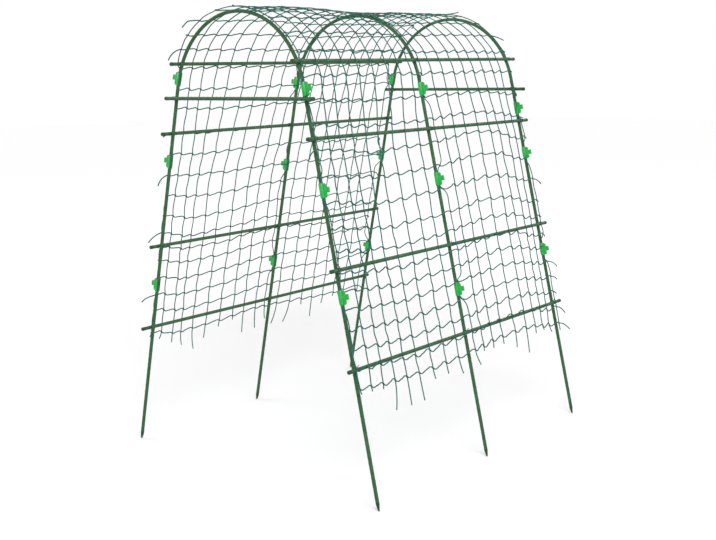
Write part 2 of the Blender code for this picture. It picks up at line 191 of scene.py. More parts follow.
# How those strands bow up and down along the tunnel, and the share of it at each distance up a leg
NET_RIGHT_BOW = (
    (-0.80, 0.026), (-0.60, 0.004), (-0.42, -0.010), (-0.15, 0.0),
    (0.36, 0.034), (0.52, 0.024), (0.72, -0.018), (0.80, -0.020),
)
NET_RIGHT_BOW_SHARE = ((0.60, 0.7), (1.10, 1.0), (1.46, 1.0), (1.69, 0.35), (1.80, 0.0))
NET_LEFT_BOW = (
    (-0.80, 0.030), (-0.62, -0.005), (-0.52, -0.005), (-0.35, 0.0),
    (-0.08, 0.022), (0.04, 0.022), (0.45, 0.0),
)
NET_LEFT_BOW_SHARE = ((0.50, 1.0), (1.15, 1.0), (1.30, 0.5), (1.64, 0.35), (1.84, 0.0))

# How far those strands wave up and down in each cell, at the crown and per metre from it
NET_WAVE = 0.0035
NET_WAVE_GROWTH = {"right": 0.0015, "left": 0.0}
NET_WAVE_SHARES = (0.75, 1.55)
NET_WAVE_SKEW = 0.3
ROW_BELLIES = (-0.003, 0.002)
ROW_BULGES = (0.0, 0.003)
ROW_STEPS = 9

# How far the strands over the arch sway and snake along the tunnel in each cell
COLUMN_SWAYS = (-0.0055, 0.0015)
COLUMN_SNAKES = (-0.0015, 0.0030)
COLUMN_STEPS = 8

# How far those strands have shifted along the tunnel, by distance along the hoops
NET_DRIFT = (
    (2.10, 0.0), (2.31, -0.014), (2.51, -0.024), (2.61, -0.022),
    (2.70, -0.012), (2.82, 0.004), (3.40, 0.0),
)

# The same down the sides, by place along the tunnel, and the share of it at each distance up a leg
NET_RIGHT_SHIFT = (
    (-0.80, 0.0), (-0.71, -0.038), (-0.58, -0.030), (-0.46, -0.048), (-0.30, -0.070),
    (-0.16, -0.055), (-0.08, -0.042), (0.0, 0.027), (0.08, 0.024), (0.20, 0.013),
    (0.42, 0.064), (0.58, 0.046), (0.67, 0.024), (0.76, 0.026),
)
NET_RIGHT_SHIFT_SHARE = ((0.50, 1.0), (1.45, 1.0), (1.85, 0.12), (2.05, 0.0))
NET_LEFT_SHIFT = (
    (-0.80, 0.0), (-0.66, -0.015), (-0.55, -0.035), (-0.38, -0.072), (-0.10, -0.080),
    (0.0, -0.070), (0.40, -0.035), (0.67, -0.010), (0.76, 0.024),
)
NET_LEFT_SHIFT_SHARE = ((0.50, 1.0), (1.25, 1.0), (1.50, 0.55), (1.84, 0.0))

# The same for the net's front edge, on top of that
NET_EDGE_DRIFT = (
    (0.50, -0.014), (1.50, -0.008), (2.10, 0.0), (2.72, 0.0), (2.90, 0.026), (4.10, 0.016),
)

# Knots, and how far each lies from its even place
KNOT_RADIUS = 0.0044
KNOT_SIZES = (0.9, 1.25)
KNOT_LEVELS = (-0.75, -0.3, 0.3, 0.75)
KNOT_SIDES = 6
ROW_TILT = 0.004
COLUMN_WANDER = 0.004
COLUMN_WANDER_KEPT = 0.75
KNOT_JITTER = 0.003
KNOT_LIFTS = (0.0, 0.002)

# How each clip holds the net down against its leg, and how far from the clip that still shows
HELD_OFFSETS = ((0.009, -0.0075), (0.018, 0.006))
HELD_GATHER = 0.65
BESIDE_HALF_WIDTH = 0.018
HOLD_REACH_UP = 0.055
HOLD_REACH_ALONG = 0.037
HOLD_FADE_POWER = 1.5
HOLD_MOUTH = 0.006
RAIL_HOLD_START = 0.009
RAIL_HOLD_FADE = 0.016
FIRM_HOLD = 0.5

# How far the net stands off the hoops' centreline over the crown, along the tunnel
NET_STAND_OFF = (
    (-0.88, 0.024), (-0.80, 0.018), (-0.40, 0.025), (0.0, 0.0125),
    (0.40, 0.021), (0.80, 0.024), (0.88, 0.030),
)
NET_SETTLE_LENGTH = 0.20

# Cut ends of the strands
ROW_TAIL_LENGTHS = (0.006, 0.008, 0.011, 0.016, 0.024, 0.060, 0.082)
ROW_TAIL_DROOPS = (0.6, 1.4)
ROW_TAIL_LIFTS = (-0.1, 0.4)
ROW_TAIL_STEPS = 8
LONG_TAIL_LENGTH = 0.125
LONG_TAIL_ROW = NET_BEND_ROWS_LEFT[0]
HELD_TAIL_LENGTH = 0.004
COLUMN_TAIL_LENGTHS = (0.022, 0.035, 0.050, 0.075, 0.120)
COLUMN_TAIL_CURL = 0.5
COLUMN_TAIL_LIFT = 0.10
COLUMN_TAIL_STEPS = 7

# Broad and fine mottling of the surfaces, and the scale of their gloss as a share of the fine one
BROAD_STOPS = (0.30, 0.70)
FINE_STOPS = (0.25, 0.75)
FINE_SHADE = 0.72
FINE_SHARE = 0.6
GLOSS_SCALE = 0.4

# Floor, background and light
WHITE = (1.0, 1.0, 1.0, 1.0)
FLOOR_COLOUR = (0.80, 0.80, 0.80, 1.0)
FLOOR_HALF_WIDTH = 30.0
FLOOR_DROP = 0.0005
FLOOR_NEAR = 2.5
FLOOR_FAR = 8.0
FLOOR_GLOW_NEAR = 0.16
FLOOR_GLOW_FAR = 0.60
STUDIO_LIGHT = 0.45
LAMPS_AIM = Vector((0, 0, 1.0))

# Each softbox's place, width and height, and power
SOFTBOXES = {
    "key_softbox": ((4.2, -2.8, 5.4), (4.0, 3.0), 330.0),
    "left_softbox": ((-5.0, -2.0, 3.5), (3.0, 3.0), 130.0),
    "back_softbox": ((1.0, 6.0, 4.0), (3.0, 3.0), 130.0),
}

# Sizes that follow from the ones above
ARC_CENTRE = ARCH_HEIGHT - ARC_RADIUS
SPRING_HEIGHT = ARC_CENTRE + ARC_RADIUS * math.sin(LEG_LEAN)
LEG_LENGTH = SPRING_HEIGHT / math.cos(LEG_LEAN)
GROUND_HALF_WIDTH = ARC_RADIUS * math.cos(LEG_LEAN) + SPRING_HEIGHT * math.tan(LEG_LEAN)
CROWN_DISTANCE = LEG_LENGTH + (math.pi / 2 - LEG_LEAN) * ARC_RADIUS
HOOP_LENGTH = 2 * CROWN_DISTANCE
RAIL_OFFSET = 2 * TUBE_RADIUS + GAP
NET_OFFSET = RAIL_OFFSET + TUBE_RADIUS + GAP
HELD_CLEAR = TUBE_RADIUS + ROW_TWINE_RADIUS
HOOP_Y = {"front": -HOOP_SPACING, "middle": 0.0, "back": HOOP_SPACING}
SIDES = {"left": -1, "right": 1}
MIRROR = Vector((-1, 1, 1))
ALONG_TUNNEL = Vector((0, 1, 0))


def add_camera():
    forward = Vector(
        (
            -math.sin(CAMERA_YAW) * math.cos(CAMERA_PITCH),
            math.cos(CAMERA_YAW) * math.cos(CAMERA_PITCH),
            -math.sin(CAMERA_PITCH),
        )
    )
    level = Vector((math.cos(CAMERA_YAW), math.sin(CAMERA_YAW), 0))
    upright = level.cross(forward)
    right = level * math.cos(CAMERA_ROLL) + upright * math.sin(CAMERA_ROLL)
    up = upright * math.cos(CAMERA_ROLL) - level * math.sin(CAMERA_ROLL)
    data = bpy.data.cameras.new("camera")
    data.sensor_width = SENSOR_WIDTH
    data.lens = FOCAL_LENGTH_IN_PIXELS * SENSOR_WIDTH / PHOTO_WIDTH
    data.shift_y = (OPTICAL_CENTRE_ROW - PHOTO_HEIGHT / 2) / PHOTO_WIDTH
    camera = bpy.data.objects.new("camera", data)
    bpy.context.scene.collection.objects.link(camera)
    turned = Matrix((right, up, -forward)).transposed()
    camera.matrix_world = Matrix.Translation(CAMERA_PLACE) @ turned.to_4x4()
    bpy.context.scene.camera = camera


# Soft steps and tables


def stepped(steps):
    """The parts from 0 to 1 in this many steps, with both ends."""
    return [step / steps for step in range(steps + 1)]


def softened(part):
    """A part from 0 to 1, with a soft start and end."""
    return part * part * (3 - 2 * part)


def between(table, place, soft=True):
    """The value at this place in a table of (place, value), read with soft or straight steps."""
    for (low, low_value), (high, high_value) in zip(table, table[1:]):
        if place <= high:
            part = max(0.0, (place - low) / (high - low))
            if soft:
                part = softened(part)
            return low_value + (high_value - low_value) * part
    return table[-1][1]


def blended(first, second, part):
    return [a + (b - a) * part for a, b in zip(first, second)]


def either_way(most):
    return chance.uniform(-most, most)


# Where things are


def spring_height(offset):
    return ARC_CENTRE + (ARC_RADIUS + offset) * math.sin(LEG_LEAN)


def half_width(height, offset):
    """How far from the middle plane a line outside the hoop lies at this height."""
    radius = ARC_RADIUS + offset
    rise = spring_height(offset) - height
    if rise > 0:
        return radius * math.cos(LEG_LEAN) + rise * math.tan(LEG_LEAN)
    return math.sqrt(radius**2 - (height - ARC_CENTRE) ** 2)


def arc_angle(height, offset):
    return math.asin((height - ARC_CENTRE) / (ARC_RADIUS + offset))


def outward_angle(height):
    """Direction from a hoop to a rail at this height, above the horizontal."""
    return LEG_LEAN if height < SPRING_HEIGHT else arc_angle(height, RAIL_OFFSET)


def hoop_distance(height, offset):
    """Distance along the hoop from the ground to the point beside this height and offset."""
    if height < spring_height(offset):
        return (height - offset * math.sin(LEG_LEAN)) / math.cos(LEG_LEAN)
    return LEG_LENGTH + (arc_angle(height, offset) - LEG_LEAN) * ARC_RADIUS


def from_nearer_foot(distance):
    return min(distance, HOOP_LENGTH - distance)


def hoop_frame(distance):
    """Centre, outward and onward direction at this distance along a hoop from its right foot."""
    if distance > CROWN_DISTANCE:
        centre, outward, onward = hoop_frame(HOOP_LENGTH - distance)
        return centre * MIRROR, outward * MIRROR, -(onward * MIRROR)
    angle = LEG_LEAN + max(0.0, distance - LEG_LENGTH) / ARC_RADIUS
    outward = Vector((math.cos(angle), 0, math.sin(angle)))
    onward = Vector((-math.sin(angle), 0, math.cos(angle)))
    if distance <= LEG_LENGTH:
        return Vector((GROUND_HALF_WIDTH, 0, 0)) + distance * onward, outward, onward
    return Vector((0, 0, ARC_CENTRE)) + ARC_RADIUS * outward, outward, onward


def side_frame(distance, sign):
    """The same at this distance from the right foot, or from the left one where sign is -1."""
    if sign > 0:
        return hoop_frame(distance)
    return tuple(vector * MIRROR for vector in hoop_frame(distance))


def hoop_path(y, sign):
    """The path of a hoop at this place along the tunnel, starting at one of its feet."""

    def path(distance):
        centre, outward, _ = side_frame(distance, sign)
        return centre + y * ALONG_TUNNEL, outward, ALONG_TUNNEL

    return path


def rail_path(height, sign):
    facing = outward_angle(height)
    outward = Vector((sign * math.cos(facing), 0, math.sin(facing)))
    line = Vector((sign * half_width(height, RAIL_OFFSET), 0, height))
    beside = outward.cross(ALONG_TUNNEL)

    def path(distance):
        return line + distance * ALONG_TUNNEL, outward, beside

    return path


def tie_path(way):
    line = Vector((0, way * (HOOP_SPACING + RAIL_OFFSET), TIE_HEIGHT))

    def path(distance):
        return line + Vector((distance, 0, 0)), Vector((0, way, 0)), Vector((0, 0, 1))

    return path


TIE_DISTANCE = hoop_distance(TIE_HEIGHT, 0.0)
RAIL_DISTANCES = {level: hoop_distance(height, RAIL_OFFSET) for level, height in RAIL_HEIGHTS.items()}


# Making meshes


class Shape:
    """The points and faces of one piece, gathered part by part."""

    def __init__(self):
        self.points = []
        self.faces = []

    def ring(self, centre, across, beside, radius, sides):
        first = len(self.points)
        for step in range(sides):
            turn = 2 * math.pi * step / sides
            self.points.append(centre + radius * (math.cos(turn) * across + math.sin(turn) * beside))
        return range(first, first + sides)

    def band(self, first, second):
        """The faces between two rings."""
        sides = len(first)
        for side in range(sides):
            after = (side + 1) % sides
            self.faces.append((first[side], first[after], second[after], second[side]))

    def skin(self, rings):
        """Joins rings in order and closes both ends."""
        for first, second in zip(rings, rings[1:]):
            self.band(first, second)
        self.faces.append(tuple(rings[0]))
        self.faces.append(tuple(rings[-1]))

    def turned(self, path, stations):
        """A round part along a path, from (distance, radius) stations."""
        rings = []
        for distance, radius in stations:
            centre, across, beside = path(distance)
            rings.append(self.ring(centre, across, beside, radius, TUBE_SIDES))
        self.skin(rings)

    def strand(self, points, radius, closed=False):
        """A thin round strand through these points. A closed one returns to its first point."""
        count = len(points)
        rings = []
        across = None
        for index, point in enumerate(points):
            if closed:
                along = points[(index + 1) % count] - points[index - 1]
            else:
                along = points[min(index + 1, count - 1)] - points[max(index - 1, 0)]
            along.normalize()
            if across is None:
                across = along.orthogonal()
            across = (across - across.dot(along) * along).normalized()
            rings.append(self.ring(point, across, along.cross(across), radius, STRAND_SIDES))
        if closed:
            for first, second in zip(rings, rings[1:] + rings[:1]):
                self.band(first, second)
        else:
            self.skin(rings)

    def nub(self, seat, normal, along):
        """A small dome on a tube's surface."""
        beside = normal.cross(along)
        low = self.ring(seat - NUB_ROOT * normal, along, beside, NUB_RADIUS, NUB_SIDES)
        shoulder = seat + NUB_SHOULDER_HEIGHT * NUB_HEIGHT * normal
        high = self.ring(shoulder, along, beside, NUB_SHOULDER_RADIUS * NUB_RADIUS, NUB_SIDES)
        top = len(self.points)
        self.points.append(seat + NUB_HEIGHT * normal)
        self.band(low, high)
        for side in range(NUB_SIDES):
            self.faces.append((high[side], high[(side + 1) % NUB_SIDES], top))
        self.faces.append(tuple(low))

    def ball(self, centre, radii, axes):
        """A small rounded lump with its own radius along each of three axes."""
        across, beside, up = axes
        rings = []
        for level in KNOT_LEVELS:
            width = math.sqrt(1 - level**2)
            middle = centre + level * radii[2] * up
            rings.append(
                self.ring(middle, width * radii[0] * across, width * radii[1] * beside, 1.0, KNOT_SIDES)
            )
        self.skin(rings)


def shaded(mesh):
    mesh.shade_smooth()
    mesh.set_sharp_from_angle(angle=SHARP_ANGLE)
    return mesh


def mesh_of(bm, name):
    bmesh.ops.recalc_face_normals(bm, faces=bm.faces[:])
    mesh = bpy.data.meshes.new(name)
    bm.to_mesh(mesh)
    bm.free()
    return shaded(mesh)


def shape_mesh(shape, name):
    bm = bmesh.new()
    corners = [bm.verts.new(point) for point in shape.points]
    for face in shape.faces:
        bm.faces.new([corners[index] for index in face])
    return mesh_of(bm, name)


def piece(name, mesh, look, replaced=(), place=(0, 0, 0), turn=(0, 0, 0)):
    """Puts a piece on the one body, in place of the solids that it stands for."""
    obj = bpy.data.objects.new(name, mesh)
    obj.location = place
    obj.rotation_euler = turn
    bpy.context.scene.collection.objects.link(obj)
    if not mesh.materials:
        mesh.materials.append(look)
    if replaced:
        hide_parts(*replaced)
    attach(obj, "root")


# Materials


def new_node(tree, kind, inputs=(), **settings):
    """A node with these settings and these (name, value) pairs on its inputs."""
    made = tree.nodes.new(kind)
    for key, value in settings.items():
        setattr(made, key, value)
    for key, value in inputs:
        made.inputs[key].default_value = value
    return made


def grey(level):
    return (level, level, level)


class Look:
    """A procedural material around one Principled shader."""

    def __init__(self, name):
        self.made = bpy.data.materials.new(name)
        self.made.use_nodes = True
        self.tree = self.made.node_tree
        self.shader = self.tree.nodes["Principled BSDF"]
        self.place = new_node(self.tree, "ShaderNodeTexCoord").outputs["Object"]

    def link(self, source, target):
        self.tree.links.new(source, target)

    def noise(self, scale, detail=3.0):
        inputs = [("Scale", scale), ("Detail", detail), ("Roughness", 0.55)]
        made = new_node(self.tree, "ShaderNodeTexNoise", inputs)
        self.link(self.place, made.inputs["Vector"])
        return made.outputs["Fac"]

    def ramp(self, source, stops):
        made = new_node(self.tree, "ShaderNodeValToRGB")
        for element, (position, colour) in zip(made.color_ramp.elements, stops):
            element.position = position
            element.color = (*colour, 1.0)
        self.link(source, made.inputs["Fac"])
        return made.outputs["Color"]

    def multiplied(self, factor, first, second):
        made = new_node(
            self.tree, "ShaderNodeMix", [("Factor", factor)], data_type="RGBA", blend_type="MULTIPLY"
        )
        self.link(first, made.inputs["A"])
        self.link(second, made.inputs["B"])
        return made.outputs["Result"]

    def span(self, source, low, high):
        made = new_node(self.tree, "ShaderNodeMapRange", [("To Min", low), ("To Max", high)])
        self.link(source, made.inputs["Value"])
        return made.outputs["Result"]

    def bump(self, height, strength, distance):
        made = new_node(self.tree, "ShaderNodeBump", [("Strength", strength), ("Distance", distance)])
        self.link(height, made.inputs["Height"])
        return made.outputs["Normal"]

    def set(self, socket, value):
        self.shader.inputs[socket].default_value = value

    def drive(self, socket, source):
        self.link(source, self.shader.inputs[socket])


def mottled(name, dark, light, scale, fine_scale, roughness, skin, specular):
    """A moulded or dipped plastic surface with a mottled colour and a fine skin.

    skin is the scale, the strength and the depth of its bumps.
    """
    look = Look(name)
    broad = look.ramp(look.noise(scale), zip(BROAD_STOPS, (dark, light)))
    fine = look.ramp(look.noise(fine_scale, detail=4.0), zip(FINE_STOPS, (grey(FINE_SHADE), grey(1.0))))
    look.drive("Base Color", look.multiplied(FINE_SHARE, broad, fine))
    look.drive("Roughness", look.span(look.noise(fine_scale * GLOSS_SCALE), *roughness))
    skin_scale, skin_strength, skin_depth = skin
    look.drive("Normal", look.bump(look.noise(skin_scale, detail=2.0), skin_strength, skin_depth))
    look.set("Specular IOR Level", specular)
    return look.made


def coated_steel():
    return mottled(
        "coated_steel", dark=(0.030, 0.094, 0.038), light=(0.055, 0.146, 0.066), scale=45.0,
        fine_scale=420.0, roughness=(0.48, 0.66), skin=(1300.0, 0.35, 0.0003), specular=0.2,
    )


def plug_plastic():
    return mottled(
        "plug_plastic", dark=(0.016, 0.052, 0.022), light=(0.030, 0.086, 0.040), scale=90.0,
        fine_scale=600.0, roughness=(0.50, 0.66), skin=(1600.0, 0.3, 0.0003), specular=0.25,
    )


def clip_plastic():
    return mottled(
        "clip_plastic", dark=(0.008, 0.390, 0.055), light=(0.016, 0.490, 0.080), scale=70.0,
        fine_scale=500.0, roughness=(0.30, 0.44), skin=(1500.0, 0.25, 0.0002), specular=0.45,
    )


def wire_plastic():
    return mottled(
        "wire_plastic", dark=(0.015, 0.052, 0.022), light=(0.028, 0.086, 0.040), scale=120.0,
        fine_scale=700.0, roughness=(0.42, 0.56), skin=(1800.0, 0.3, 0.0002), specular=0.3,
    )


def net_twine():
    """Twisted twine, with painted shade in the grooves between its threads."""
    look = Look("net_twine")
    dark = (0.013, 0.086, 0.068)
    light = (0.034, 0.168, 0.134)
    broad = look.ramp(look.noise(scale=30.0), zip(BROAD_STOPS, (dark, light)))
    twist = new_node(
        look.tree, "ShaderNodeTexWave", [("Scale", 130.0), ("Distortion", 2.0)],
        wave_type="BANDS", bands_direction="DIAGONAL",
    )
    look.link(look.place, twist.inputs["Vector"])
    # Painted shade: the twine is darkened in the grooves between its twisted threads
    groove_shade = look.ramp(twist.outputs["Fac"], [(0.2, grey(0.70)), (0.8, grey(1.0))])
    look.drive("Base Color", look.multiplied(factor=0.7, first=broad, second=groove_shade))
    look.drive("Roughness", look.span(look.noise(scale=200.0), low=0.62, high=0.80))
    look.drive("Normal", look.bump(twist.outputs["Fac"], strength=0.5, distance=0.0004))
    look.set("Specular IOR Level", 0.25)
    return look.made


# The frame of tubes


def plain_start(distance):
    return [(distance, TUBE_RADIUS - LIP_ROUND), (distance + LIP_ROUND, TUBE_RADIUS)]


def plain_finish(distance):
    return [(distance - LIP_ROUND, TUBE_RADIUS), (distance, TUBE_RADIUS - LIP_ROUND)]


def socket_start(distance):
    """An open end: the bore from its bottom out to the lip, then the outside."""
    bore = TUBE_RADIUS - TUBE_WALL
    return [
        (distance + SOCKET_DEPTH, bore),
        (distance + LIP_ROUND, bore),
        (distance, bore + LIP_ROUND),
        (distance, TUBE_RADIUS - LIP_ROUND),
        (distance + LIP_ROUND, TUBE_RADIUS),
    ]


def spigot_finish(shoulder):
    """A swaged end: the tube narrows in a soft shoulder and goes on into the next tube."""
    narrow = TUBE_RADIUS - TUBE_WALL - SPIGOT_PLAY
    stations = []
    for part in stepped(SHOULDER_STEPS):
        radius = TUBE_RADIUS + (narrow - TUBE_RADIUS) * softened(part)
        stations.append((shoulder + part * SPIGOT_TAPER, radius))
    stations.append((shoulder + SPIGOT_TAPER + SPIGOT_SHOWN, narrow))
    return stations


def add_nubs(shape, path, start, end, crossings):
    """Small raised nubs in rings, each ring turned half a step from the last."""
    count = int((end - start - 2 * NUB_END_ROOM) / NUB_PITCH)
    for row in range(count + 1):
        distance = start + NUB_END_ROOM + row * NUB_PITCH
        if any(abs(distance - crossing) < CROSSING_ROOM for crossing in crossings):
            continue
        centre, across, beside = path(distance)
        for around in range(NUBS_AROUND):
            turn = 2 * math.pi * (around + 0.5 * (row % 2) + NUB_FIRST_TURN) / NUBS_AROUND
            normal = math.cos(turn) * across + math.sin(turn) * beside
            shape.nub(centre + TUBE_RADIUS * normal, normal, across.cross(beside))


def add_tube(name, node, path, stations, nubs, crossings, look):
    """A tube from its stations, with nubs between two distances."""
    shape = Shape()
    shape.turned(path, stations)
    add_nubs(shape, path, *nubs, crossings)
    piece(name, shape_mesh(shape, name), look, [node])


def hoop_crossings(hoop):
    crossings = list(RAIL_DISTANCES.values())
    if hoop != "middle":
        crossings.append(TIE_DISTANCE)
    return crossings


def add_leg_tubes(hoop, side, look):
    path = hoop_path(HOOP_Y[hoop], SIDES[side])
    tail_start = LEG_LENGTH - ARC_TAIL
    spans = {
        "lower_leg": (FOOT_LENGTH + GAP, LEG_JOINT, plain_start),
        "upper_leg": (LEG_JOINT + SPIGOT_TAPER, tail_start - SPIGOT_TAPER, socket_start),
    }
    for part, (start, end, opening) in spans.items():
        node = f"{hoop}_{side}_{part}"
        stations = opening(start) + spigot_finish(end)
        add_tube(node + "_tube", node, path, stations, (start, end), hoop_crossings(hoop), look)


def add_arc(hoop, look):
    tail = LEG_LENGTH - ARC_TAIL
    bend = HOOP_LENGTH - 2 * LEG_LENGTH
    middle = [(LEG_LENGTH + bend * step / ARC_STEPS, TUBE_RADIUS) for step in range(ARC_STEPS + 1)]
    ending = [(HOOP_LENGTH - distance, radius) for distance, radius in reversed(socket_start(tail))]
    stations = socket_start(tail) + middle + ending
    crossings = hoop_crossings(hoop)
    crossings += [HOOP_LENGTH - crossing for crossing in crossings]
    path = hoop_path(HOOP_Y[hoop], 1)
    nubs = (tail, HOOP_LENGTH - tail)
    add_tube(f"{hoop}_arc_bend", f"{hoop}_arc_tube", path, stations, nubs, crossings, look)


def add_foot(hoop, side, look):
    """A pointed plug with shallow grooves. Its point is cut level with the ground."""
    cone = FOOT_LENGTH - FOOT_COLLAR
    slope = (TUBE_RADIUS - FOOT_TIP_RADIUS) / cone
    collar = TUBE_RADIUS + FOOT_COLLAR_LIP
    stations = [(-FOOT_TIP_BELOW, FOOT_TIP_RADIUS - slope * FOOT_TIP_BELOW)]
    for groove in range(FOOT_GROOVES):
        middle = FOOT_GROOVE_START + FOOT_GROOVE_PITCH * groove
        for step, depth in ((-1.0, 0.0), (-0.5, FOOT_GROOVE_DEPTH), (0.5, FOOT_GROOVE_DEPTH), (1.0, 0.0)):
            place = middle + step * FOOT_GROOVE_HALF_WIDTH
            stations.append((place, FOOT_TIP_RADIUS + slope * place - depth))
    stations += [
        (cone, TUBE_RADIUS),
        (cone + LIP_ROUND, collar),
        (FOOT_LENGTH - LIP_ROUND, collar),
        (FOOT_LENGTH, TUBE_RADIUS - LIP_ROUND),
    ]
    shape = Shape()
    shape.turned(hoop_path(HOOP_Y[hoop], SIDES[side]), stations)
    for point in shape.points:
        point.z = max(point.z, 0.0)
    node = f"{hoop}_{side}_foot"
    piece(f"{node}_plug", shape_mesh(shape, f"{node}_plug"), look, [node])


def add_cap(name, path, face, way, look, replaced=()):
    """A cup that is pushed over a tube's end, with a rounded rim."""
    proud = TUBE_RADIUS + CAP_LIP
    fit = TUBE_RADIUS + CAP_PLAY
    seam = face - way * CAP_LENGTH
    stations = [
        (seam + way * CAP_GRIP, fit),
        (seam, fit),
        (seam, proud - CAP_EDGE / 2),
        (seam + way * CAP_EDGE, proud),
    ]
    for step in range(CAP_ROUND_STEPS + 1):
        turn = math.pi / 2 * step / CAP_ROUND_STEPS
        reach = CAP_ROUND * (1 - math.sin(turn))
        stations.append((face - way * reach, proud - CAP_ROUND * (1 - math.cos(turn))))
    shape = Shape()
    shape.turned(path, stations)
    piece(name, shape_mesh(shape, name), look, replaced)


def add_rails(look, plug_look):
    seam = RAIL_END - CAP_LENGTH
    tube_end = seam + CAP_GRIP - GAP
    socket = RAIL_JOINT_Y + SPIGOT_TAPER
    front = plain_start(-tube_end) + spigot_finish(RAIL_JOINT_Y)
    back = socket_start(socket) + plain_finish(tube_end)
    halves = {"front": (front, (-seam, RAIL_JOINT_Y), -1), "back": (back, (socket, seam), 1)}
    for side, sign in SIDES.items():
        for level, height in RAIL_HEIGHTS.items():
            path = rail_path(height, sign)
            for end, (stations, nubs, way) in halves.items():
                node = f"{side}_{level}_rail_{end}"
                add_tube(node + "_tube", node, path, stations, nubs, HOOP_Y.values(), look)
                add_cap(node + "_cap", path, way * RAIL_END, way, plug_look)


def add_cross_ties(look, plug_look):
    crossing = half_width(TIE_HEIGHT, 0.0)
    half = crossing + TIE_OVERHANG
    seam = half - CAP_LENGTH
    tube_end = seam + CAP_GRIP - GAP
    stations = plain_start(-tube_end) + plain_finish(tube_end)
    for end, way in (("front", -1), ("back", 1)):
        path = tie_path(way)
        node = f"{end}_cross_tie"
        add_tube(node + "_tube", node, path, stations, (-seam, seam), (-crossing, crossing), look)
        add_cap(node + "_left_cap", path, -half, -1, plug_look)
        add_cap(node + "_right_cap", path, half, 1, plug_look, [node + "_cap"])


# Clips


def rounded_plate(outline, direction, edge):
    """A plate from a flat outline, with every sharp edge rounded."""
    width, steps = edge
    bm = bmesh.new()
    base = bm.faces.new([bm.verts.new(point) for point in outline])
    grown = bmesh.ops.extrude_face_region(bm, geom=[base])
    lifted = [item for item in grown["geom"] if isinstance(item, bmesh.types.BMVert)]
    bmesh.ops.translate(bm, verts=lifted, vec=direction)
    bmesh.ops.recalc_face_normals(bm, faces=bm.faces[:])
    sharp = [side for side in bm.edges if side.calc_face_angle(0.0) > ROUNDED_ANGLE]
    bmesh.ops.bevel(
        bm, geom=sharp, offset=width, segments=steps, profile=0.5, affect="EDGES", clamp_overlap=True,
    )
    return bm


def clip_sleeve():
    outside = []
    inside = []
    for step in range(CLIP_STEPS + 1):
        part = 2 * step / CLIP_STEPS - 1
        turn = CLIP_WRAP * part
        ray = Vector((math.cos(turn), math.sin(turn), 0))
        flare = max(0.0, (abs(part) - CLIP_LIP_START) / (1 - CLIP_LIP_START)) ** 2
        lean = Vector((-CLIP_LIP_BACK, math.copysign(CLIP_LIP_OUT, part), 0)) * flare
        outside.append((CLIP_BORE_RADIUS + CLIP_WALL) * ray + lean)
        inside.append(CLIP_BORE_RADIUS * ray + CLIP_LIP_INNER_SHARE * lean)
    low = Vector((0, 0, CLIP_LENGTH / 2))
    outline = [point - low for point in outside + inside[::-1]]
    return mesh_of(rounded_plate(outline, (0, 0, CLIP_LENGTH), SLEEVE_EDGE), "clip_sleeve")


def rib_half(ear_edge):
    """Half of the rib's outline, as (out, up) points from the ear's tip to the sleeve's end."""
    root = CLIP_BORE_RADIUS + CLIP_WALL / 2
    rib = TUBE_RADIUS + CLIP_RIB_REACH
    ear = rib + CLIP_EAR_REACH
    top = CLIP_LENGTH / 2
    outline = []
    for step in range(CLIP_CORNER_STEPS + 1):
        turn = math.pi / 2 * step / CLIP_CORNER_STEPS
        out = ear - CLIP_EAR_ROUND * (1 - math.cos(turn))
        outline.append((out, ear_edge - CLIP_EAR_ROUND * (1 - math.sin(turn))))
    return outline + [
        (rib - CLIP_NOTCH_DEPTH, ear_edge),
        (rib, ear_edge + CLIP_NOTCH_WIDTH),
        (rib, top - CLIP_RIB_CHAMFER),
        (rib - CLIP_RIB_CHAMFER, top - CLIP_RIB_SET_BACK),
        (root, top - CLIP_RIB_SET_BACK),
    ]


def clip_rib():
    upper = rib_half(CLIP_EAR_LENGTH / 2 + CLIP_EAR_RISE)
    lower = [(out, -up) for out, up in rib_half(CLIP_EAR_LENGTH / 2 - CLIP_EAR_RISE)[::-1]]
    outline = [Vector((out, -CLIP_RIB_THICKNESS / 2, up)) for out, up in upper + lower]
    return mesh_of(rounded_plate(outline, (0, CLIP_RIB_THICKNESS, 0), RIB_EDGE), "clip_rib")


def ear_bar(side, number):
    """One of the raised bars on the ear's two faces."""
    middle = TUBE_RADIUS + CLIP_RIB_REACH + CLIP_EAR_REACH / 2 + BAR_PAST_MIDDLE
    height = CLIP_EAR_RISE + (number - (BARS_ON_A_FACE - 1) / 2) * BAR_PITCH
    root = side * (CLIP_RIB_THICKNESS / 2 - BAR_ROOT)
    outline = [
        Vector((middle + out * BAR_LENGTH / 2, root, height + up * BAR_WIDTH / 2))
        for out, up in ((-1, -1), (1, -1), (1, 1), (-1, 1))
    ]
    plate = rounded_plate(outline, (0, side * BAR_THICKNESS, 0), BAR_EDGE)
    return mesh_of(plate, f"ear_bar_{side}_{number}")


def united(meshes, name):
    parts = []
    for mesh in meshes:
        part = bpy.data.objects.new(mesh.name, mesh)
        bpy.context.scene.collection.objects.link(part)
        parts.append(part)
    for part in parts[1:]:
        union = parts[0].modifiers.new(part.name, "BOOLEAN")
        union.operation = "UNION"
        union.object = part
    bpy.context.view_layer.update()
    graph = bpy.context.evaluated_depsgraph_get()
    made = bpy.data.meshes.new_from_object(parts[0].evaluated_get(graph))
    made.name = name
    for part in parts:
        bpy.data.objects.remove(part)
    return shaded(made)


def clip_mesh():
    bars = [ear_bar(side, number) for side in (-1, 1) for number in range(BARS_ON_A_FACE)]
    return united([clip_sleeve(), clip_rib()] + bars, "net_clip")


